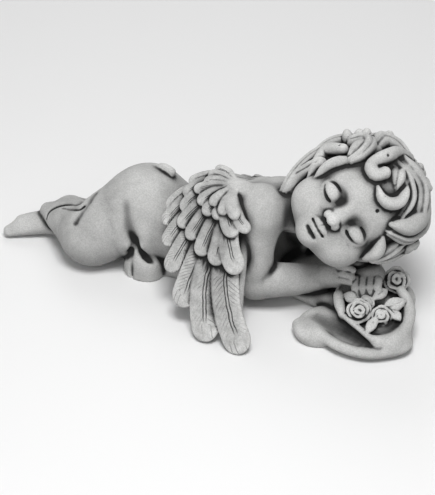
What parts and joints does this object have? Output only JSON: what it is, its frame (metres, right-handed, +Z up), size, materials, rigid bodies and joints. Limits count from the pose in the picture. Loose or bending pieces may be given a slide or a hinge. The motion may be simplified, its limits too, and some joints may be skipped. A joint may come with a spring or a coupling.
{
  "type": "garden statue",
  "caption": "Cast stone statue of a sleeping winged child lying on its front, cheek on its hands, with draped cloth and roses.",
  "frame": {"origin": "centre of the bounding box on the flat underside", "axes": "+X along the body towards the head, +Y towards the back of the figure as seen in the picture, +Z up"},
  "size_m": [0.3903, 0.2139, 0.1637],
  "materials": {
    "stone": "fine grained weathered cast stone, matt, darker in its hollows"
  },
  "bodies": {
    "root": {"cherub": "stone"}
  },
  "joints": []
}
